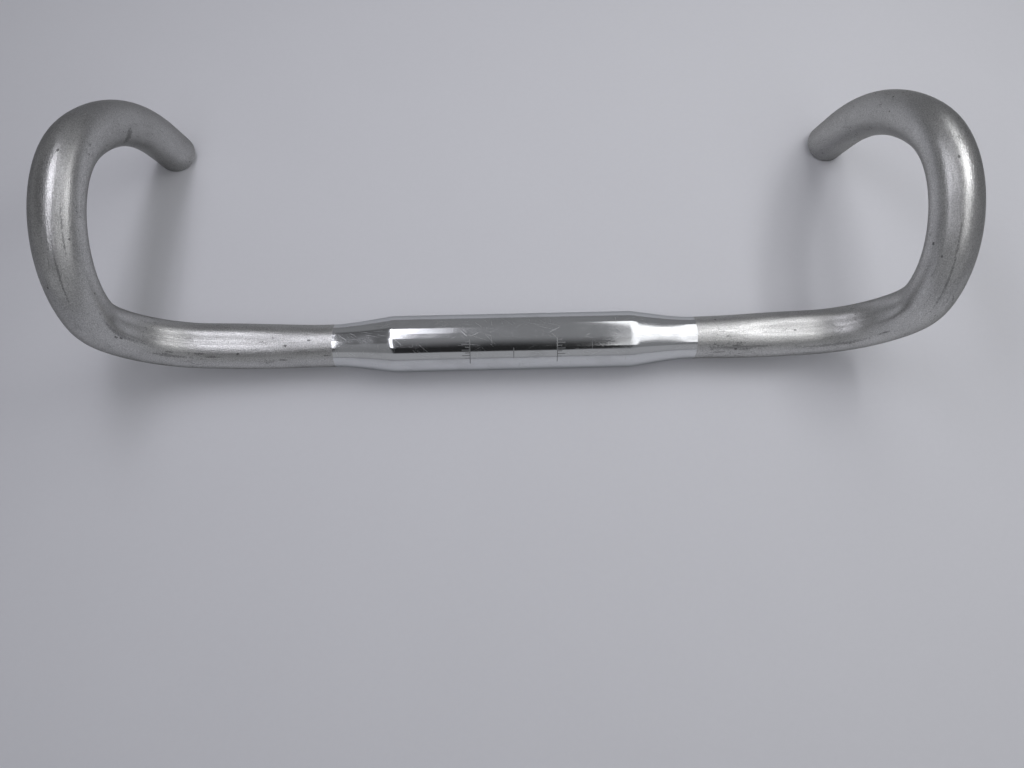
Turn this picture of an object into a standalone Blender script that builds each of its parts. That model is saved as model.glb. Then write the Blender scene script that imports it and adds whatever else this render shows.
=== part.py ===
"""Compact drop handlebar for a road bicycle, 420 mm wide between the hook centrelines.

The bar is one bent and butted aluminium tube. It is modelled lying down, front upwards, on its clamp
bulge and its two cut ends. Its zones are separate objects: the polished clamp section, the two grooved
tops, the two hooks and the two drops. They share one centreline and meet at a hairline gap.

Origin: the centre of the clamp section, on the tube's axis. +X runs to the right end of the bar, +Y from
the tops towards the cut ends, and +Z out of the bar's front. All functions work in metres.
"""
import math

import bmesh
import bpy
from mathutils import Vector

MM = 0.001
NAME = "drop_handlebar"

# Clamp section: a bulge for the stem, with a taper at each side
CLAMP_RADIUS = 15.9 * MM        # 31.8 mm stem clamp
BULGE_HALF = 67 * MM            # the cylinder that the stem holds, either side of the centre
TAPER_END = 98 * MM             # where the taper meets the thin tube
TAPER_EASE = 0.2                # 0 is a straight cone, more eases into the thin tube
POLISH_HALF = 101 * MM          # where the polished zone ends
CLAMP_WALL = 2.1 * MM
TAPER_STEPS = 8

# Tube
TUBE_RADIUS = 11.9 * MM         # 23.8 mm tube, which lever clamps fit
TUBE_WALL = 1.6 * MM
JOINT_GAP = 0.3 * MM            # hairline between two zones

# Centreline of one side, as arc lengths, bend radii and bend angles
SWEEP_START = 103 * MM          # from the centre to where the tops start to sweep forward
TOPS_LENGTH = 168.1 * MM        # from the centre to the corner
TOPS_SWEEP = math.radians(7)    # how far the tops have swept forward at the corner
CORNER_RADIUS = 48 * MM         # the bend from the tops into the ramp
RAMP_LEAN = math.radians(-6.84)  # of the ramp, from +Z towards +Y, so that the ends reach the ground
RAMP_LENGTH = 58 * MM           # from the start of the corner to the start of the hook's bend
HOOK_RADIUS = 50 * MM
HOOK_ANGLE = math.radians(129)
DROP_RADIUS = 150 * MM
DROP_ANGLE = math.radians(39)
END_LENGTH = 24 * MM            # straight piece up to the cut end
BEND_BLEND = 9 * MM             # how gently one bend runs into the next
HOOK_LENGTH = 204 * MM          # from the start of the corner to where the drop zone starts

# Formed section: (arc length from the centre, half depth front to back, half height)
CORNER_LENGTH = CORNER_RADIUS * (math.pi / 2 - TOPS_SWEEP)
HOOK_START = TOPS_LENGTH + RAMP_LENGTH
HOOK_END = TOPS_LENGTH + HOOK_LENGTH
SECTIONS = (
    (SWEEP_START, 11.9 * MM, 11.9 * MM),
    (TOPS_LENGTH - 18 * MM, 11.0 * MM, 12.8 * MM),
    (TOPS_LENGTH + 10 * MM, 11.2 * MM, 12.6 * MM),
    (TOPS_LENGTH + CORNER_LENGTH, 11.6 * MM, 12.1 * MM),
    (HOOK_START + 55 * MM, 12.0 * MM, 11.7 * MM),
    (HOOK_END, 11.9 * MM, 11.9 * MM),
)

# Cable groove along the front of the tops and the inside of the corner
GROOVE_DEPTH = 1.3 * MM
GROOVE_HALF_ANGLE = math.radians(17)
GROOVE_START = 118 * MM
GROOVE_FULL = 150 * MM
GROOVE_FADE = TOPS_LENGTH + 52 * MM
GROOVE_END = TOPS_LENGTH + 80 * MM

# Shallow flat along the hook, between the outside of its bend and its inner side
DISH_DEPTH = 0.4 * MM
DISH_ANGLE = math.radians(-58)
DISH_HALF_ANGLE = math.radians(15)
DISH_START = TOPS_LENGTH + 72 * MM
DISH_FULL = HOOK_START + 45 * MM
DISH_FADE = HOOK_START + 80 * MM
DISH_END = HOOK_START + 125 * MM

# Resolution
TUBE_SIDES = 24
CLAMP_SIDES = 40
STATION_STEP = 7 * MM
END_STEP = 1 * MM               # a short first step squares the tube's first ring to the path
PATH_STEP = 0.5 * MM


def clear_scene():
    for obj in list(bpy.data.objects):
        bpy.data.objects.remove(obj, do_unlink=True)


def make_collection():
    collection = bpy.data.collections.new(NAME)
    bpy.context.scene.collection.children.link(collection)
    return collection


def make_material(name, color, roughness):
    material = bpy.data.materials.new(name)
    material.use_nodes = True
    shader = material.node_tree.nodes["Principled BSDF"]
    shader.inputs["Base Color"].default_value = (*color, 1.0)
    shader.inputs["Metallic"].default_value = 1.0
    shader.inputs["Roughness"].default_value = roughness
    return material


def smoothstep(low, high, value):
    t = min(max((value - low) / (high - low), 0.0), 1.0)
    return t * t * (3 - 2 * t)


def blend(distance):
    """0 well before a bend starts, 1 well after, and a soft change over BEND_BLEND."""
    return 0.5 * (1 + math.tanh(distance / BEND_BLEND))


# The centreline --------------------------------------------------------------------------------------

def turn_angle(s):
    """Angle of the tube away from the X axis: the tops' forward sweep, then the corner."""
    if s < TOPS_LENGTH:
        t = (s - SWEEP_START) / (TOPS_LENGTH - SWEEP_START)
        return TOPS_SWEEP * math.sin(max(t, 0.0) * math.pi / 2)
    return min(TOPS_SWEEP + (s - TOPS_LENGTH) / CORNER_RADIUS, math.pi / 2)


def hook_curvature(s):
    """Curvature of the hook and of the drop, in the hook's upright plane."""
    hook = HOOK_START
    drop = hook + HOOK_RADIUS * HOOK_ANGLE
    end = drop + DROP_RADIUS * DROP_ANGLE
    tight = (blend(s - hook) - blend(s - drop)) / HOOK_RADIUS
    wide = (blend(s - drop) - blend(s - end)) / DROP_RADIUS
    return tight + wide


def total_length():
    return HOOK_START + HOOK_RADIUS * HOOK_ANGLE + DROP_RADIUS * DROP_ANGLE + END_LENGTH


def frame_at(turn, lean):
    """Tangent, front and side directions of the tube. The front faces +Z on the tops."""
    tangent = Vector((math.cos(turn), math.sin(turn) * math.sin(lean), math.sin(turn) * math.cos(lean)))
    front = Vector((-math.sin(turn), math.cos(turn) * math.sin(lean), math.cos(turn) * math.cos(lean)))
    side = Vector((0.0, math.cos(lean), -math.sin(lean)))
    return tangent, front, side


def trace_path():
    """The right side's centreline as a list of (arc length, point, front, side)."""
    path = []
    steps = math.ceil(total_length() / PATH_STEP)
    step = total_length() / steps
    point, lean = Vector((0.0, 0.0, 0.0)), RAMP_LEAN
    for i in range(steps + 1):
        s = i * step
        front, side = frame_at(turn_angle(s), lean)[1:]
        path.append((s, point.copy(), front, side))
        middle = s + step / 2
        if s >= TOPS_LENGTH:
            lean += hook_curvature(middle) * step
        point += frame_at(turn_angle(middle), lean)[0] * step
    return path


def station(path, s):
    """Point, front and side at an arc length, read between two samples of the path."""
    step = path[1][0]
    i = min(int(s / step), len(path) - 2)
    t = s / step - i
    return tuple(path[i][k].lerp(path[i + 1][k], t) for k in (1, 2, 3))


def stations(start, end):
    count = max(2, round((end - start) / STATION_STEP))
    return [start + (end - start) * i / count for i in range(count + 1)]


# The formed section ----------------------------------------------------------------------------------

def half_sizes(s):
    """Half depth and half height of the tube at an arc length."""
    for (s0, depth0, height0), (s1, depth1, height1) in zip(SECTIONS, SECTIONS[1:]):
        if s <= s1:
            t = smoothstep(s0, s1, s)
            return depth0 + (depth1 - depth0) * t, height0 + (height1 - height0) * t
    return TUBE_RADIUS, TUBE_RADIUS


def groove_depth(s):
    rise = smoothstep(GROOVE_START, GROOVE_FULL, s)
    fall = 1 - smoothstep(GROOVE_FADE, GROOVE_END, s)
    return GROOVE_DEPTH * rise * fall


def dish_depth(s):
    return DISH_DEPTH * smoothstep(DISH_START, DISH_FULL, s) * (1 - smoothstep(DISH_FADE, DISH_END, s))


def outline_radius(s, angle):
    """From the centreline to the tube's outside. The angle runs from the front towards the side."""
    depth, height = half_sizes(s)
    oval = 1 / math.hypot(math.cos(angle) / depth, math.sin(angle) / height)
    groove = groove_depth(s) * math.exp(-(angle / GROOVE_HALF_ANGLE) ** 2)
    dish = dish_depth(s) * math.exp(-((angle - DISH_ANGLE) / DISH_HALF_ANGLE) ** 2)
    return oval - groove - dish


# Building --------------------------------------------------------------------------------------------

def finish_mesh(mesh):
    mesh.shade_smooth()
    mesh.set_sharp_from_angle(angle=math.radians(35))


def add_object(name, mesh, collection, material):
    mesh.materials.clear()
    mesh.materials.append(material)
    finish_mesh(mesh)
    obj = bpy.data.objects.new(name, mesh)
    collection.objects.link(obj)
    return obj


def add_wall(obj, thickness):
    """Gives an open tube surface its wall, inwards."""
    wall = obj.modifiers.new("wall", "SOLIDIFY")
    wall.thickness = thickness
    wall.offset = -1.0
    wall.use_even_offset = True


def bulge(x):
    """1 on the clamp's cylinder and 0 on the thin tube."""
    t = min(max((abs(x) - BULGE_HALF) / (TAPER_END - BULGE_HALF), 0.0), 1.0)
    return 1 - t * (1 + TAPER_EASE - TAPER_EASE * t ** 3)


def build_clamp_section(collection, material):
    """A hollow turned piece: the outer side runs from its top to its bottom, then the bore back up."""
    places = [POLISH_HALF]
    for i in range(TAPER_STEPS + 1):
        places.append(TAPER_END + (BULGE_HALF - TAPER_END) * i / TAPER_STEPS)
    places += [-z for z in reversed(places)]
    outer = [(z, TUBE_RADIUS + (CLAMP_RADIUS - TUBE_RADIUS) * bulge(z)) for z in places]
    inner = []
    for z, radius in reversed(outer):
        inner.append((z, radius - TUBE_WALL - (CLAMP_WALL - TUBE_WALL) * bulge(z)))
    profile = bmesh.new()
    verts = [profile.verts.new((radius, 0.0, z)) for z, radius in outer + inner]
    for a, b in zip(verts, verts[1:] + verts[:1]):
        profile.edges.new((a, b))
    mesh = bpy.data.meshes.new("clamp_section")
    profile.to_mesh(mesh)
    profile.free()
    obj = add_object("clamp_section", mesh, collection, material)
    turn = obj.modifiers.new("turn", "SCREW")
    turn.axis = "Z"
    turn.angle = math.tau
    turn.screw_offset = 0.0
    turn.steps = turn.render_steps = CLAMP_SIDES
    turn.use_merge_vertices = True
    turn.merge_threshold = 0.00001
    turn.use_smooth_shade = True
    obj.rotation_euler = (0.0, math.pi / 2, 0.0)
    return obj


def build_formed_tube(name, path, start, end, mirror, collection, material):
    """A tube whose section changes along the path, so it is a loft of section rings with a wall."""
    loft = bmesh.new()
    rings = []
    for s in stations(start, end):
        point, front, side = station(path, s)
        ring = []
        for i in range(TUBE_SIDES):
            angle = math.tau * i / TUBE_SIDES
            if angle > math.pi:
                angle -= math.tau
            radius = outline_radius(s, angle)
            vert = point + front * (radius * math.cos(angle)) + side * (radius * math.sin(angle))
            ring.append(loft.verts.new((vert.x * mirror, vert.y, vert.z)))
        rings.append(ring)
    for near, far in zip(rings, rings[1:]):
        for i in range(TUBE_SIDES):
            j = (i + 1) % TUBE_SIDES
            loft.faces.new((near[i], near[j], far[j], far[i]))
    loft.normal_update()
    bmesh.ops.recalc_face_normals(loft, faces=loft.faces)
    face = loft.faces[0]
    away = face.calc_center_median() - sum((v.co for v in rings[0]), Vector()) / TUBE_SIDES
    if face.normal.dot(away) < 0:
        bmesh.ops.reverse_faces(loft, faces=loft.faces)
    mesh = bpy.data.meshes.new(name)
    loft.to_mesh(mesh)
    loft.free()
    obj = add_object(name, mesh, collection, material)
    add_wall(obj, TUBE_WALL)
    return obj


def build_round_tube(name, path, start, end, mirror, collection, material):
    """A round tube along the path: a bevelled curve without caps, made a mesh, with a wall."""
    curve = bpy.data.curves.new(name, "CURVE")
    curve.dimensions = "3D"
    curve.bevel_depth = TUBE_RADIUS
    curve.bevel_resolution = TUBE_SIDES // 2 - 2
    curve.use_fill_caps = False
    places = stations(start, end)
    places.insert(1, start + END_STEP)
    spline = curve.splines.new("POLY")
    spline.points.add(len(places) - 1)
    for target, s in zip(spline.points, places):
        point = station(path, s)[0]
        target.co = (point.x * mirror, point.y, point.z, 1.0)
    guide = bpy.data.objects.new(name + "_guide", curve)
    collection.objects.link(guide)
    evaluated = guide.evaluated_get(bpy.context.evaluated_depsgraph_get())
    mesh = bpy.data.meshes.new_from_object(evaluated)
    mesh.name = name
    bpy.data.objects.remove(guide, do_unlink=True)
    obj = add_object(name, mesh, collection, material)
    add_wall(obj, TUBE_WALL)
    return obj


def build_handlebar():
    clear_scene()
    collection = make_collection()
    polished = make_material("polished_aluminium", (0.80, 0.81, 0.83), 0.12)
    blasted = make_material("blasted_aluminium", (0.62, 0.62, 0.63), 0.42)
    path = trace_path()
    build_clamp_section(collection, polished)
    for side, mirror in (("left", -1), ("right", 1)):
        build_formed_tube(side + "_top", path, POLISH_HALF + JOINT_GAP, TOPS_LENGTH - JOINT_GAP / 2,
                          mirror, collection, blasted)
        build_formed_tube(side + "_hook", path, TOPS_LENGTH + JOINT_GAP / 2, HOOK_END - JOINT_GAP / 2,
                          mirror, collection, blasted)
        build_round_tube(side + "_drop", path, HOOK_END + JOINT_GAP / 2, total_length(),
                         mirror, collection, blasted)


build_handlebar()
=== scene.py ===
"""Looks of the drop handlebar: one polished centre piece and two bead-blasted arms on a pale table.

The bar lies front upwards on its clamp bulge and its two cut ends. +X runs to its right end, +Y from the
tops towards the cut ends, and +Z out of its front. Everything is in metres.
"""
import math
import random

import bmesh
import bpy
from mathutils import Matrix, Vector


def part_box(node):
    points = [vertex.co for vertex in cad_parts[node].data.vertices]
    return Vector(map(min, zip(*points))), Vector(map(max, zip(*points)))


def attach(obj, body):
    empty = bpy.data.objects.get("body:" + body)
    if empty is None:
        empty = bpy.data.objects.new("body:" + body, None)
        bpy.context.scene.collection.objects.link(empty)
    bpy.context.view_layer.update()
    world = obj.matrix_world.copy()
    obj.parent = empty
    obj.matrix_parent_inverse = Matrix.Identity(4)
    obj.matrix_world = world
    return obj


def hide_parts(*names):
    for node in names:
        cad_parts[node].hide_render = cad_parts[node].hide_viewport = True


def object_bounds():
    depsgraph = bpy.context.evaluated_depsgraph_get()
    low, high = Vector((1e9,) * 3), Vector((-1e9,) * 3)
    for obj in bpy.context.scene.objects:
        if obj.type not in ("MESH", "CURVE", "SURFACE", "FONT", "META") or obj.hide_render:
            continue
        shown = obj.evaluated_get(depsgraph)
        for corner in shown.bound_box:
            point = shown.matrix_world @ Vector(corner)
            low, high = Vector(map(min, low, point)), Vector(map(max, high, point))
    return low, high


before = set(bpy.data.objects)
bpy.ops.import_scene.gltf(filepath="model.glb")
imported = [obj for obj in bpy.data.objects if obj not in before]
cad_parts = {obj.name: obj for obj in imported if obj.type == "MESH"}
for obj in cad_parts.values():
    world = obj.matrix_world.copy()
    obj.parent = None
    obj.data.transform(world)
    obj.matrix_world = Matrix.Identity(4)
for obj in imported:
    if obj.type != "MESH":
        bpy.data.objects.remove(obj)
CAD_LOW, CAD_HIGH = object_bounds()

MM = 0.001

# Clamp section
POLISH_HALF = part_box("clamp_section")[1][0]
POLISH_SHIFT = 1.5 * MM         # the masked finish sits this much to the right
CLAMP_RADIUS = 15.9 * MM
BULGE_HALF = 67 * MM
TAPER_END = 98 * MM
TAPER_EASE = 0.2                # 0 is a straight cone, more eases into the thin tube
SHOULDER_ROUND = 2 * MM         # half the length over which the shoulder is rounded
CLAMP_WALL = 2.1 * MM

# Tube
TUBE_RADIUS = 11.9 * MM
TUBE_WALL = 1.6 * MM

# Centreline of one side, as arc lengths, bend radii and bend angles
SWEEP_START = 103 * MM
TOPS_LENGTH = 168.1 * MM
TOPS_SWEEP = math.radians(7)
CORNER_RADIUS = 48 * MM
RAMP_LEAN = math.radians(-6.84)
RAMP_LENGTH = 58 * MM
HOOK_RADIUS = 50 * MM
HOOK_ANGLE = math.radians(129)
DROP_RADIUS = 150 * MM
DROP_ANGLE = math.radians(39)
END_LENGTH = 24 * MM
BEND_BLEND = 9 * MM
CORNER_LENGTH = CORNER_RADIUS * (math.pi / 2 - TOPS_SWEEP)
HOOK_START = TOPS_LENGTH + RAMP_LENGTH
HOOK_END = TOPS_LENGTH + 204 * MM
PATH_LENGTH = HOOK_START + HOOK_RADIUS * HOOK_ANGLE + DROP_RADIUS * DROP_ANGLE + END_LENGTH
PATH_STEP = 0.25 * MM

# Formed section: (arc length from the centre, half depth front to back, half height)
SECTIONS = (
    (SWEEP_START, 11.9 * MM, 11.9 * MM),
    (TOPS_LENGTH - 18 * MM, 11.0 * MM, 12.8 * MM),
    (TOPS_LENGTH + 10 * MM, 11.2 * MM, 12.6 * MM),
    (TOPS_LENGTH + CORNER_LENGTH, 11.6 * MM, 12.1 * MM),
    (HOOK_START + 55 * MM, 12.0 * MM, 11.7 * MM),
    (HOOK_END, 11.9 * MM, 11.9 * MM),
)
GROOVE_DEPTH = 1.3 * MM
GROOVE_HALF_ANGLE = math.radians(17)
GROOVE_START = 118 * MM
GROOVE_FULL = 150 * MM
GROOVE_FADE = TOPS_LENGTH + 52 * MM
GROOVE_END = TOPS_LENGTH + 80 * MM

# Shallow flat along the hook, between the outside of its bend and its inner side
DISH_DEPTH = 0.4 * MM
DISH_ANGLE = math.radians(-58)
DISH_HALF_ANGLE = math.radians(15)
DISH_START = TOPS_LENGTH + 72 * MM
DISH_FULL = HOOK_START + 45 * MM
DISH_FADE = HOOK_START + 80 * MM
DISH_END = HOOK_START + 125 * MM

# Resolution of the visible surfaces
TUBE_SIDES = 80
CLAMP_SIDES = 128
STATION_STEP = 2 * MM
CLAMP_STEP = 1 * MM
EDGE_ROUND = 0.25 * MM          # broken edge at the cut ends
SHOULDER_SAMPLES = 17
SHARP_ANGLE = math.radians(40)

# Camera: the photograph's viewing angle, in the bar's frame
CAMERA_PLACE = Vector((-13.9, -179.1, 400.1)) * MM
CAMERA_TILT = math.radians(20.98)
CAMERA_YAW = math.radians(-1.69)
CAMERA_ROLL = math.radians(-1.40)
CAMERA_LENS = 27.17
SENSOR_WIDTH = 36.0
CAMERA_NEAR = 10 * MM


def smoothstep(low, high, value):
    t = min(max((value - low) / (high - low), 0.0), 1.0)
    return t * t * (3 - 2 * t)


# The centreline --------------------------------------------------------------------------------------

def blend(distance):
    return 0.5 * (1 + math.tanh(distance / BEND_BLEND))


def turn_angle(s):
    """Angle of the tube away from the X axis: the tops' forward sweep, then the corner."""
    if s < TOPS_LENGTH:
        t = (s - SWEEP_START) / (TOPS_LENGTH - SWEEP_START)
        return TOPS_SWEEP * math.sin(max(t, 0.0) * math.pi / 2)
    return min(TOPS_SWEEP + (s - TOPS_LENGTH) / CORNER_RADIUS, math.pi / 2)


def hook_curvature(s):
    drop = HOOK_START + HOOK_RADIUS * HOOK_ANGLE
    end = drop + DROP_RADIUS * DROP_ANGLE
    tight = (blend(s - HOOK_START) - blend(s - drop)) / HOOK_RADIUS
    wide = (blend(s - drop) - blend(s - end)) / DROP_RADIUS
    return tight + wide


def frame_at(turn, lean):
    """Tangent, front and side directions of the tube. The front faces +Z on the tops."""
    tangent = Vector((math.cos(turn), math.sin(turn) * math.sin(lean), math.sin(turn) * math.cos(lean)))
    front = Vector((-math.sin(turn), math.cos(turn) * math.sin(lean), math.cos(turn) * math.cos(lean)))
    side = Vector((0.0, math.cos(lean), -math.sin(lean)))
    return tangent, front, side


def trace_path():
    """The right side's centreline as a list of (point, front, side), one for each PATH_STEP or so."""
    path = []
    steps = math.ceil(PATH_LENGTH / PATH_STEP)
    step = PATH_LENGTH / steps
    point, lean = Vector((0.0, 0.0, 0.0)), RAMP_LEAN
    for i in range(steps + 1):
        s = i * step
        front, side = frame_at(turn_angle(s), lean)[1:]
        path.append((point.copy(), front, side))
        middle = s + step / 2
        if s >= TOPS_LENGTH:
            lean += hook_curvature(middle) * step
        point += frame_at(turn_angle(middle), lean)[0] * step
    return path, step


PATH, STEP = trace_path()


def station(s):
    i = min(int(s / STEP), len(PATH) - 2)
    t = s / STEP - i
    return tuple(PATH[i][k].lerp(PATH[i + 1][k], t) for k in range(3))


def half_sizes(s):
    for (s0, depth0, height0), (s1, depth1, height1) in zip(SECTIONS, SECTIONS[1:]):
        if s <= s1:
            t = smoothstep(s0, s1, s)
            return depth0 + (depth1 - depth0) * t, height0 + (height1 - height0) * t
    return TUBE_RADIUS, TUBE_RADIUS


def groove_depth(s):
    rise = smoothstep(GROOVE_START, GROOVE_FULL, s)
    fall = 1 - smoothstep(GROOVE_FADE, GROOVE_END, s)
    return GROOVE_DEPTH * rise * fall


def dish_depth(s):
    return DISH_DEPTH * smoothstep(DISH_START, DISH_FULL, s) * (1 - smoothstep(DISH_FADE, DISH_END, s))


def outline_radius(s, angle):
    """From the centreline to the tube's outside. The angle runs from the front towards the side."""
    depth, height = half_sizes(s)
    oval = 1 / math.hypot(math.cos(angle) / depth, math.sin(angle) / height)
    groove = groove_depth(s) * math.exp(-(angle / GROOVE_HALF_ANGLE) ** 2)
    dish = dish_depth(s) * math.exp(-((angle - DISH_ANGLE) / DISH_HALF_ANGLE) ** 2)
    return oval - groove - dish


def cone(x):
    t = min(max((abs(x) - BULGE_HALF) / (TAPER_END - BULGE_HALF), 0.0), 1.0)
    return 1 - t * (1 + TAPER_EASE - TAPER_EASE * t ** 3)


def bulge(x):
    """1 on the clamp's cylinder and 0 on the thin tube, with a rounded shoulder between them."""
    offsets = (SHOULDER_ROUND * (2 * i / (SHOULDER_SAMPLES - 1) - 1) for i in range(SHOULDER_SAMPLES))
    return sum(cone(abs(x) + offset) for offset in offsets) / SHOULDER_SAMPLES


# Meshes ----------------------------------------------------------------------------------------------

def ring_mesh(name, rings, places):
    """A closed tube wall from rings of points, the last ring joining the first. Each point also keeps
    its place on the tube pulled straight, for the finish: (along, radius * cos, radius * sin)."""
    sides = len(rings[0])
    bm = bmesh.new()
    layer = bm.verts.layers.float_vector.new("tube_space")
    verts = []
    for ring, (along, radius) in zip(rings, places):
        for i, point in enumerate(ring):
            angle = math.tau * i / sides
            vert = bm.verts.new(point)
            vert[layer] = (along, radius * math.cos(angle), radius * math.sin(angle))
            verts.append(vert)
    for r in range(len(rings)):
        near, far = r * sides, (r + 1) % len(rings) * sides
        for i in range(sides):
            j = (i + 1) % sides
            bm.faces.new((verts[near + i], verts[near + j], verts[far + j], verts[far + i])).smooth = True
    bmesh.ops.recalc_face_normals(bm, faces=bm.faces)
    mesh = bpy.data.meshes.new(name)
    bm.to_mesh(mesh)
    bm.free()
    mesh.set_sharp_from_angle(angle=SHARP_ANGLE)
    obj = bpy.data.objects.new(name, mesh)
    bpy.context.scene.collection.objects.link(obj)
    return obj


def add_arm(name, mirror, material):
    """One blasted arm as a single tube wall, from the polished zone to the cut end."""
    begin = POLISH_HALF + mirror * POLISH_SHIFT
    count = round((PATH_LENGTH - begin) / STATION_STEP)
    places = [begin + (PATH_LENGTH - begin) * i / count for i in range(count)]
    outer = [(s, 0.0) for s in places]
    outer += [(PATH_LENGTH - EDGE_ROUND, 0.0), (PATH_LENGTH, EDGE_ROUND)]
    inner = [(PATH_LENGTH, TUBE_WALL - EDGE_ROUND), (PATH_LENGTH - EDGE_ROUND, TUBE_WALL)]
    inner += [(s, TUBE_WALL) for s in reversed(places)]
    rings = []
    for s, inset in outer + inner:
        point, front, side = station(s)
        ring = []
        for i in range(TUBE_SIDES):
            angle = math.tau * i / TUBE_SIDES
            if angle > math.pi:
                angle -= math.tau
            radius = outline_radius(s, angle) - inset
            vert = point + front * (radius * math.cos(angle)) + side * (radius * math.sin(angle))
            ring.append((vert.x * mirror, vert.y, vert.z))
        rings.append(ring)
    arm = ring_mesh(name, rings, [(mirror * s, TUBE_RADIUS - inset) for s, inset in outer + inner])
    arm.data.materials.append(material)
    return arm


def add_centre(name, material):
    """The polished clamp section, turned about the X axis. Its angle runs from +Z towards +Y."""
    low, high = POLISH_SHIFT - POLISH_HALF, POLISH_SHIFT + POLISH_HALF
    count = round((high - low) / CLAMP_STEP)
    outer = []
    for i in range(count + 1):
        x = high + (low - high) * i / count
        outer.append((x, TUBE_RADIUS + (CLAMP_RADIUS - TUBE_RADIUS) * bulge(x)))
    inner = []
    for x, radius in reversed(outer):
        inner.append((x, radius - TUBE_WALL - (CLAMP_WALL - TUBE_WALL) * bulge(x)))
    rings = []
    for x, radius in outer + inner:
        angles = (math.tau * i / CLAMP_SIDES for i in range(CLAMP_SIDES))
        rings.append([(x, radius * math.sin(a), radius * math.cos(a)) for a in angles])
    centre = ring_mesh(name, rings, outer + inner)
    centre.data.materials.append(material)
    return centre


# Materials -------------------------------------------------------------------------------------------

TABLE_COLOR = (0.775, 0.78, 0.81)
TABLE_ROUGHNESS = 0.7
TABLE_SPECULAR = 0.2

BLASTED_TONE = 0.53
BLASTED_TINT = (1.0, 1.0, 0.985)
BLASTED_EDGE_SHADE = (0.45, 0.45, 0.44, 1.0)      # colour at grazing angles, dark partly for the blasted surface's own shadowing and partly as painted shade of the shadowed table seen in the edges
BLASTED_ROUGHNESS = 0.31
GRAIN_HEIGHT = 0.13 * MM

POLISHED_TONE = 0.70
POLISHED_TINT = (0.985, 1.0, 1.01)
# Colour at grazing angles, darkened as painted shade of the shadowed table seen along the silhouette
POLISHED_EDGE_SHADE = (0.55, 0.56, 0.56, 1.0)
POLISHED_ROUGHNESS = 0.10
ETCHED_ROUGHNESS = 0.55
WAVE_HEIGHT = 0.08 * MM
SCRATCH_HEIGHT = 0.010 * MM
POLISHING_LINES = (0.6, 0.25)               # anisotropy, and its rotation round the tube's tangent
HAIRLINES = (                               # (direction in radians, length, width, rarity)
    (0.10, 16.0, 0.26, 0.76),
    (0.75, 12.0, 0.24, 0.77),
    (-0.45, 14.0, 0.24, 0.77),
    (1.50, 9.0, 0.24, 0.78),
    (0.30, 30.0, 0.26, 0.77),
)

# Etched scale on the polished zone: two rulers with their ticks outwards, and a centre line (mm)
RULER_PLACE = 24.0
RULER_ARC = (-19.5, -5.0)       # distance round the tube from its front
TICK_ARC = (-15.6, -6.2)
TICK_PITCH = 1.6
TICK_LENGTHS = (2.6, 4.4)       # every second tick is a long one
CENTRE_ARC = (-16.0, -10.0)
ETCH_WIDTH = 0.44

# Handling marks on the blasted arms, each a ragged dark spot, and dark lines that are painted shade along
# the hook's creases. Each kind is scattered at random over a stretch of both arms: (number on an arm, stretch
# along the tube, stretch round it in degrees, half length along and half width around in mm, darkness)
MARK_SEED = 11
MARK_SPREAD = (0.7, 1.3)        # sizes of one kind, against the length given
MARK_KINDS = (
    (6, (POLISH_HALF, HOOK_END), (-80, 0), 0.9, 0.6, 0.65),                         # nicks
    (6, (POLISH_HALF, TOPS_LENGTH + CORNER_LENGTH), (-65, -25), 3.5, 0.5, 0.45),    # short scuffs
    (2, (POLISH_HALF, HOOK_START), (-60, -30), 15.0, 0.8, 0.35),                    # long scuffs
    (2, (HOOK_START, HOOK_END), (-80, -50), 12.0, 0.5, 0.35),                       # creases: painted shade, dark lines along the hook's creases
)
STAIN = (-HOOK_END / MM, 30, 3.5, 5.0, 0.45)    # one stain where the left hook runs into the drop
GROOVE_LINES = (116, 206)       # the fine lines in the groove, the lighter ones a painted glint and the darker ones dark streaks: along the tube, then round it (mm)
GROOVE_LINES_ARC = (-2.6, 0.9)


def plug(tree, socket, value):
    if isinstance(value, bpy.types.NodeSocket):
        tree.links.new(value, socket)
    else:
        socket.default_value = value


def calc(tree, operation, *values):
    node = tree.nodes.new("ShaderNodeMath")
    node.operation = operation
    for socket, value in zip(node.inputs, values):
        plug(tree, socket, value)
    return node.outputs[0]


def total(tree, *values):
    result = values[0]
    for value in values[1:]:
        result = calc(tree, "ADD", result, value)
    return result


def product(tree, *values):
    result = values[0]
    for value in values[1:]:
        result = calc(tree, "MULTIPLY", result, value)
    return result


def edge(tree, value, low, high):
    """A soft step: 0 at low and 1 at high. Low may be the larger of the two."""
    node = tree.nodes.new("ShaderNodeMapRange")
    node.interpolation_type = "SMOOTHSTEP"
    for name, number in (("Value", value), ("From Min", low), ("From Max", high)):
        plug(tree, node.inputs[name], number)
    return node.outputs[0]


def between(tree, value, low, high, blur):
    """1 between low and high, with soft edges."""
    rise = edge(tree, value, low - blur, low + blur)
    return product(tree, rise, edge(tree, value, high + blur, high - blur))


def swing(tree, fac, amount):
    """A texture's 0 to 1 as a change of about that amount either way."""
    return product(tree, calc(tree, "SUBTRACT", fac, 0.5), 2 * amount)


def scaled(tree, place, x, y, z, turn=0.0):
    node = tree.nodes.new("ShaderNodeMapping")
    plug(tree, node.inputs["Vector"], place)
    node.inputs["Scale"].default_value = (x, y, z)
    node.inputs["Rotation"].default_value = (0.0, 0.0, turn)
    return node.outputs[0]


def joined(tree, x, y, z=0.0):
    node = tree.nodes.new("ShaderNodeCombineXYZ")
    for socket, value in zip(node.inputs, (x, y, z)):
        plug(tree, socket, value)
    return node.outputs[0]


def noise(tree, place, scale, detail=2.0):
    node = tree.nodes.new("ShaderNodeTexNoise")
    plug(tree, node.inputs["Vector"], place)
    node.inputs["Scale"].default_value = scale
    node.inputs["Detail"].default_value = detail
    return node.outputs["Fac"]


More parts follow.
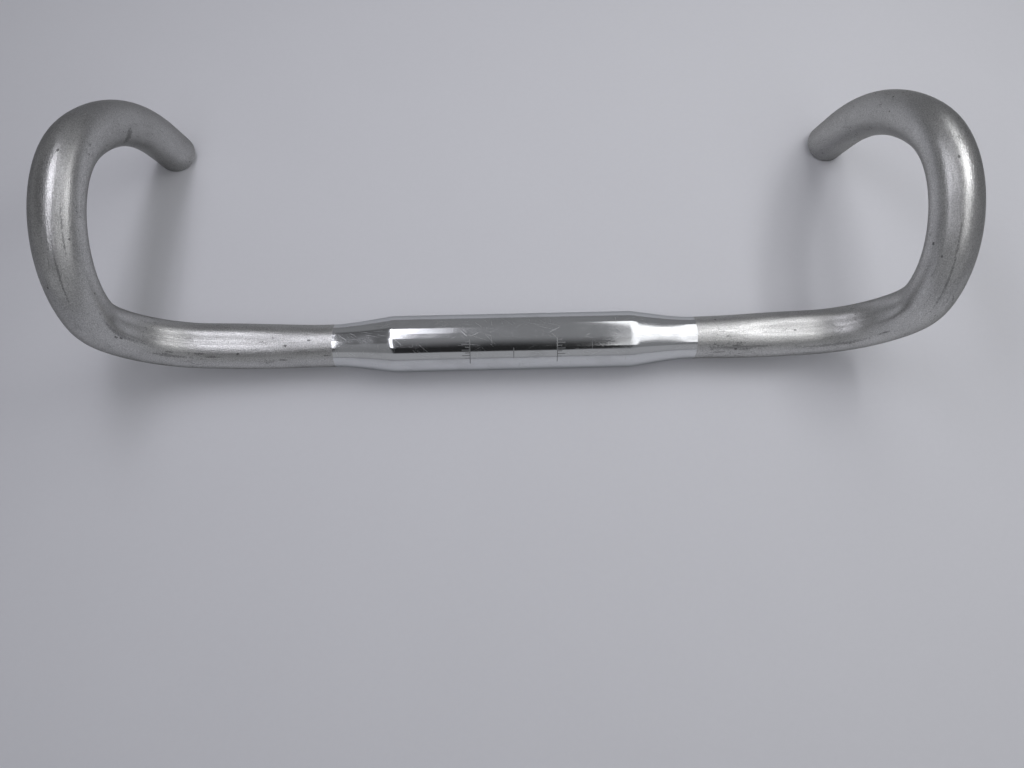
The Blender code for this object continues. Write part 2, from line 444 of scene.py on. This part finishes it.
def tube_places(tree, radius):
    """Millimetres on the tube pulled straight: the place in space, along it, and round it."""
    attribute = tree.nodes.new("ShaderNodeAttribute")
    attribute.attribute_name = "tube_space"
    place = scaled(tree, attribute.outputs["Vector"], 1 / MM, 1 / MM, 1 / MM)
    axes = tree.nodes.new("ShaderNodeSeparateXYZ")
    tree.links.new(place, axes.inputs[0])
    along, up, around = axes.outputs
    arc = product(tree, calc(tree, "ARCTAN2", around, up), radius / MM)
    return place, along, arc


def tinted(tree, tone, tint):
    node = tree.nodes.new("ShaderNodeCombineColor")
    for socket, value in zip(node.inputs, tint):
        plug(tree, socket, product(tree, tone, value))
    return node.outputs[0]


def bumped(tree, height, distance, below=None):
    node = tree.nodes.new("ShaderNodeBump")
    node.inputs["Distance"].default_value = distance
    plug(tree, node.inputs["Height"], height)
    if below is not None:
        plug(tree, node.inputs["Normal"], below)
    return node.outputs[0]


def scratches(tree, along, arc, turn, length, width, rarity):
    """Short straight scratches in one direction, as the crests of a strongly stretched noise."""
    place = joined(tree, along, arc, 100 * turn)
    node = tree.nodes.new("ShaderNodeVectorRotate")
    node.rotation_type = "Z_AXIS"
    plug(tree, node.inputs["Vector"], place)
    node.inputs["Angle"].default_value = turn
    crests = noise(tree, scaled(tree, node.outputs[0], 1 / length, 1 / width, 1.0), 1.0, 0.0)
    return edge(tree, crests, rarity, rarity + 0.05)


def new_material(name):
    material = bpy.data.materials.new(name)
    material.use_nodes = True
    return material, material.node_tree, material.node_tree.nodes["Principled BSDF"]


def marks_and_crease_shade():
    """The stain, the scattered marks and the painted crease shade: place along the tube in mm, negative on
    the left arm, angle round it in degrees, half length along and half width around in mm, darkness."""
    draw = random.Random(MARK_SEED)
    marks = [STAIN]
    for mirror in (-1, 1):
        for count, stretch, arc, half_length, half_width, darkness in MARK_KINDS:
            for _ in range(count):
                place = mirror * draw.uniform(*stretch) / MM
                angle = draw.uniform(*arc)
                marks.append((place, angle, half_length * draw.uniform(*MARK_SPREAD), half_width, darkness))
    return marks


def blasted_aluminium():
    """Dull bead-blasted metal: sparkling grain, cloudy tone, groove lines with a painted glint, scuffs,
    handling marks, painted crease shade and edges darkened as painted shade.
    """
    material, tree, shader = new_material("blasted_aluminium")
    place, along, arc = tube_places(tree, TUBE_RADIUS)
    grain = noise(tree, place, 1.9, 1.0)
    cloud = noise(tree, place, 0.035)
    patch = noise(tree, scaled(tree, place, 0.4, 1.0, 1.0), 0.22, 3.0)
    tone = total(tree, BLASTED_TONE, swing(tree, grain, 0.28), swing(tree, cloud, 0.05),
                 swing(tree, patch, 0.07))

    distance = calc(tree, "ABSOLUTE", along)
    in_groove = product(tree, between(tree, distance, *GROOVE_LINES, 8.0),
                        between(tree, arc, *GROOVE_LINES_ARC, 0.8))
    lines = noise(tree, joined(tree, product(tree, along, 0.014), product(tree, arc, 1.5)), 1.0, 1.0)
    # The lighter lines are a painted glint, where the groove's rubbed lines catch the light
    painted_glint_lines = product(tree, edge(tree, lines, 0.60, 0.68), in_groove)
    dark_lines = product(tree, edge(tree, lines, 0.42, 0.34), in_groove)
    tone = total(tree, tone, product(tree, painted_glint_lines, 0.14), product(tree, dark_lines, -0.22))

    ragged = swing(tree, noise(tree, place, 1.1, 2.0), 2.2)
    # Marks darken the tone: the crease kind is painted shade along the hook's creases, the others are real
    # marks
    grime_and_crease_shade = 0.0
    for x, angle, half_length, half_width, darkness in marks_and_crease_shade():
        u = product(tree, calc(tree, "SUBTRACT", along, x), 1 / half_length)
        v = calc(tree, "SUBTRACT", arc, math.radians(angle) * TUBE_RADIUS / MM)
        v = product(tree, v, 1 / half_width)
        reach = total(tree, product(tree, u, u), product(tree, v, v), ragged)
        grime_and_crease_shade = calc(tree, "MAXIMUM", grime_and_crease_shade, product(tree, edge(tree, reach, 1.3, 0.4), darkness))
    scuffed = edge(tree, noise(tree, place, 0.045, 1.0), 0.56, 0.66)
    wander = calc(tree, "SUBTRACT", noise(tree, scaled(tree, place, 0.5, 1.0, 1.0), 0.22, 3.0), 0.5)
    scuffs = product(tree, edge(tree, calc(tree, "ABSOLUTE", wander), 0.010, 0.003), scuffed, 0.45)
    spots = tree.nodes.new("ShaderNodeTexVoronoi")
    plug(tree, spots.inputs["Vector"], place)
    spots.inputs["Scale"].default_value = 0.11
    speck = product(tree, edge(tree, spots.outputs["Distance"], 0.075, 0.045), 0.55)
    grime_and_crease_shade = calc(tree, "MAXIMUM", grime_and_crease_shade, calc(tree, "MAXIMUM", scuffs, speck))
    fine = scratches(tree, along, arc, 0.15, 9.0, 0.5, 0.76)
    grime_and_crease_shade = calc(tree, "MAXIMUM", grime_and_crease_shade, product(tree, fine, 0.30))

    # Darker under the marks and under the painted crease shade
    tone = product(tree, tone, calc(tree, "SUBTRACT", 1.0, grime_and_crease_shade))
    plug(tree, shader.inputs["Base Color"], tinted(tree, tone, BLASTED_TINT))
    shader.inputs["Metallic"].default_value = 1.0
    # Darker at grazing angles: partly the surface's own shadowing, partly painted shade of the shadowed table
    # seen in the edges
    shader.inputs["Specular Tint"].default_value = BLASTED_EDGE_SHADE
    roughness = total(tree, BLASTED_ROUGHNESS, swing(tree, patch, 0.06), product(tree, grime_and_crease_shade, 0.15))
    plug(tree, shader.inputs["Roughness"], roughness)
    relief = total(tree, grain, product(tree, grime_and_crease_shade, -0.3))
    plug(tree, shader.inputs["Normal"], bumped(tree, relief, GRAIN_HEIGHT))
    return material


def between_lines(tree, value, place, width):
    """1 within half a width of a place."""
    away = calc(tree, "ABSOLUTE", calc(tree, "SUBTRACT", value, place))
    return edge(tree, away, 0.65 * width, 0.35 * width)


def etched_scale(tree, along, arc):
    """The laser-etched rulers and centre line, as 1 where they are."""
    blur = ETCH_WIDTH / 4
    outwards = calc(tree, "SUBTRACT", calc(tree, "ABSOLUTE", along), RULER_PLACE)
    rulers = between_lines(tree, outwards, 0.0, ETCH_WIDTH)
    rulers = product(tree, rulers, between(tree, arc, *RULER_ARC, blur))
    ticks = 0.0
    for i, length in enumerate(TICK_LENGTHS):
        step = 2 * TICK_PITCH
        phase = calc(tree, "FLOORED_MODULO", calc(tree, "SUBTRACT", arc, TICK_ARC[0] - step / 4), step)
        line = between_lines(tree, phase, step / 4 + i * TICK_PITCH, ETCH_WIDTH)
        line = product(tree, line, between(tree, outwards, 0.0, length, blur))
        ticks = calc(tree, "MAXIMUM", ticks, line)
    ticks = product(tree, ticks, between(tree, arc, TICK_ARC[0] - 0.4, TICK_ARC[1] + 0.4, blur))
    centre = product(tree, between_lines(tree, along, 0.0, ETCH_WIDTH), between(tree, arc, *CENTRE_ARC, blur))
    return calc(tree, "MAXIMUM", calc(tree, "MAXIMUM", rulers, ticks), centre)


def polished_aluminium():
    """Bright polished metal, a little wavy, with smudges, hairline scratches, the etched scale and edges
    darkened as painted shade.
    """
    material, tree, shader = new_material("polished_aluminium")
    place, along, arc = tube_places(tree, CLAMP_RADIUS)
    etch = etched_scale(tree, along, arc)
    smudge = edge(tree, noise(tree, scaled(tree, place, 0.5, 1.0, 1.0), 0.12, 3.0), 0.48, 0.72)
    haze = noise(tree, place, 1.3, 2.0)
    worn = edge(tree, noise(tree, place, 0.05, 1.0), 0.40, 0.60)
    hairlines = 0.0
    for hairline in HAIRLINES:
        hairlines = calc(tree, "MAXIMUM", hairlines, scratches(tree, along, arc, *hairline))
    hairlines = product(tree, hairlines, total(tree, 0.30, product(tree, worn, 0.70)))
    tone = total(tree, POLISHED_TONE, product(tree, smudge, -0.06), product(tree, hairlines, -0.06),
                 swing(tree, haze, 0.03))
    tone = product(tree, tone, calc(tree, "SUBTRACT", 1.0, product(tree, etch, 0.55)))
    plug(tree, shader.inputs["Base Color"], tinted(tree, tone, POLISHED_TINT))
    shader.inputs["Metallic"].default_value = 1.0
    # Darker at grazing angles: painted shade of the shadowed table seen along the silhouette
    shader.inputs["Specular Tint"].default_value = POLISHED_EDGE_SHADE
    roughness = total(tree, POLISHED_ROUGHNESS, product(tree, smudge, 0.06),
                      product(tree, hairlines, 0.26), swing(tree, haze, 0.02))
    roughness = calc(tree, "MAXIMUM", roughness, product(tree, etch, ETCHED_ROUGHNESS))
    plug(tree, shader.inputs["Roughness"], roughness)
    # Polishing lines run round the tube, so reflections blur along it and stay crisp across it
    lines = tree.nodes.new("ShaderNodeTangent")
    lines.direction_type = "RADIAL"
    lines.axis = "X"
    plug(tree, shader.inputs["Tangent"], lines.outputs[0])
    shader.inputs["Anisotropic"].default_value = POLISHING_LINES[0]
    shader.inputs["Anisotropic Rotation"].default_value = POLISHING_LINES[1]
    waves = noise(tree, scaled(tree, place, 0.25, 1.0, 1.0), 0.12, 1.0)
    surface = bumped(tree, waves, WAVE_HEIGHT)
    relief = total(tree, product(tree, hairlines, -0.1), product(tree, etch, -1.0), product(tree, haze, 0.5))
    plug(tree, shader.inputs["Normal"], bumped(tree, relief, SCRATCH_HEIGHT, surface))
    return material


def table_white():
    """A plain pale table, very slightly uneven in tone."""
    material, tree, shader = new_material("table_white")
    place = tree.nodes.new("ShaderNodeNewGeometry").outputs["Position"]
    tone = total(tree, 1.0, swing(tree, noise(tree, place, 14.0, 3.0), 0.012),
                 swing(tree, noise(tree, place, 400.0, 1.0), 0.010))
    plug(tree, shader.inputs["Base Color"], tinted(tree, tone, TABLE_COLOR))
    shader.inputs["Roughness"].default_value = TABLE_ROUGHNESS
    shader.inputs["Specular IOR Level"].default_value = TABLE_SPECULAR
    return material


polished = polished_aluminium()
blasted = blasted_aluminium()

centre = add_centre("polished_centre", polished)
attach(centre, "root")
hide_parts("clamp_section")
for side, mirror in (("left", -1), ("right", 1)):
    arm = add_arm(side + "_arm", mirror, blasted)
    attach(arm, "root")
    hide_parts(side + "_top", side + "_hook", side + "_drop")


# Stage -----------------------------------------------------------------------------------------------

TABLE_HALF = 20.0

# Softboxes side by side at one height, face down: (name, centre x, centre y, width, depth, luminance)
SOFTBOX_HEIGHT = 550 * MM
SOFTBOXES = (
    ("right_lamp", 390, 150, 45, 280, 12.0),
    ("right_panel", 300, 300, 240, 900, 1.4),
    ("right_panel_near", 300, -375, 240, 450, 1.2),
    ("left_lamp", -180, 150, 55, 280, 6.5),
    ("left_strip", -220, -215, 50, 430, 4.5),
    ("left_strip_far", -220, 390, 40, 180, 4.0),
    ("left_panel", -150, 210, 60, 480, 2.0),
    ("left_inner", -95, 300, 50, 300, 1.0),
)
LEFT_TINT = (0.975, 0.97, 1.05)  # the light is a little cooler from the left
RIGHT_TINT = (1.0, 1.0, 1.02)
ROOM_TINT = (0.97, 0.98, 1.03, 1.0)
ROOM_LUMINANCE = 0.23
FLAG_LUMINANCE = 0.02
FLAG_TOP = (math.radians(4), math.radians(44))      # leans towards -Y over which the dark flag begins
FLAG_FOOT = (math.radians(59), math.radians(63))    # and ends, above the pale skirt of the room
SKIRT_LUMINANCE = 0.36
SKIRT_FADE = (math.radians(80), math.radians(35))   # away from straight in front of the bar
FLAG_SIDE = math.radians(20)
FLAG_BLUR = math.radians(4)
CURTAIN_LUMINANCE = 0.11        # a darker stretch of the room on the left
CURTAIN_LEAN = (math.radians(-50), math.radians(20))
CURTAIN_SIDE = (math.radians(-60), math.radians(-21))


def add_floor():
    half, z = TABLE_HALF, CAD_LOW[2]
    corners = [(-half, -half, z), (half, -half, z), (half, half, z), (-half, half, z)]
    mesh = bpy.data.meshes.new("table")
    mesh.from_pydata(corners, [], [(0, 1, 2, 3)])
    floor = bpy.data.objects.new("table", mesh)
    bpy.context.scene.collection.objects.link(floor)
    mesh.materials.append(table_white())


def add_softbox(name, x, y, width, depth, luminance):
    light = bpy.data.lights.new(name, "AREA")
    light.shape = "RECTANGLE"
    light.size = width * MM
    light.size_y = depth * MM
    light.energy = luminance * math.pi * light.size * light.size_y
    light.color = LEFT_TINT if x < 0 else RIGHT_TINT
    obj = bpy.data.objects.new(name, light)
    obj.location = (x * MM, y * MM, SOFTBOX_HEIGHT)
    bpy.context.scene.collection.objects.link(obj)


def add_world():
    """A dim pale room, a dark flag behind the camera and a dark stretch on the left, for the reflections."""
    world = bpy.data.worlds.new("studio")
    bpy.context.scene.world = world
    world.use_nodes = True
    tree = world.node_tree
    background = tree.nodes["Background"]

    axes = tree.nodes.new("ShaderNodeSeparateXYZ")
    tree.links.new(tree.nodes.new("ShaderNodeTexCoord").outputs["Generated"], axes.inputs[0])
    x, y, z = axes.outputs
    lean = calc(tree, "ARCTAN2", product(tree, y, -1.0), z)
    side = calc(tree, "ARCTAN2", x, z)
    flag = product(tree, edge(tree, lean, *FLAG_TOP), edge(tree, lean, *reversed(FLAG_FOOT)),
                   between(tree, side, -FLAG_SIDE, FLAG_SIDE, FLAG_BLUR))
    curtain = product(tree, between(tree, lean, *CURTAIN_LEAN, FLAG_BLUR),
                      between(tree, side, *CURTAIN_SIDE, FLAG_BLUR))
    turn = calc(tree, "ABSOLUTE", calc(tree, "ARCTAN2", x, product(tree, y, -1.0)))
    skirt = product(tree, edge(tree, lean, *FLAG_FOOT), edge(tree, turn, *SKIRT_FADE))
    strength = total(tree, ROOM_LUMINANCE, product(tree, flag, FLAG_LUMINANCE - ROOM_LUMINANCE),
                     product(tree, curtain, CURTAIN_LUMINANCE - ROOM_LUMINANCE),
                     product(tree, skirt, SKIRT_LUMINANCE - ROOM_LUMINANCE))
    tree.links.new(strength, background.inputs["Strength"])
    background.inputs["Color"].default_value = ROOM_TINT


def add_camera():
    """Looks down at the bar: tilted from straight down towards +Y, then yawed and rolled."""
    forward = Vector((0.0, math.sin(CAMERA_TILT), -math.cos(CAMERA_TILT)))
    up = Vector((0.0, math.cos(CAMERA_TILT), math.sin(CAMERA_TILT)))
    right = Vector((1.0, 0.0, 0.0))
    right, forward = (right * math.cos(CAMERA_YAW) + forward * math.sin(CAMERA_YAW),
                      forward * math.cos(CAMERA_YAW) - right * math.sin(CAMERA_YAW))
    right, up = (right * math.cos(CAMERA_ROLL) + up * math.sin(CAMERA_ROLL),
                 up * math.cos(CAMERA_ROLL) - right * math.sin(CAMERA_ROLL))
    data = bpy.data.cameras.new("camera")
    data.sensor_width = SENSOR_WIDTH
    data.lens = CAMERA_LENS
    data.clip_start = CAMERA_NEAR
    camera = bpy.data.objects.new("camera", data)
    axes = Matrix((right, up, -forward)).transposed()
    camera.matrix_world = Matrix.Translation(CAMERA_PLACE) @ axes.to_4x4()
    bpy.context.scene.collection.objects.link(camera)
    bpy.context.scene.camera = camera


add_floor()
add_world()
for softbox in SOFTBOXES:
    add_softbox(*softbox)
add_camera()

bpy.context.scene.view_settings.view_transform = "Standard"
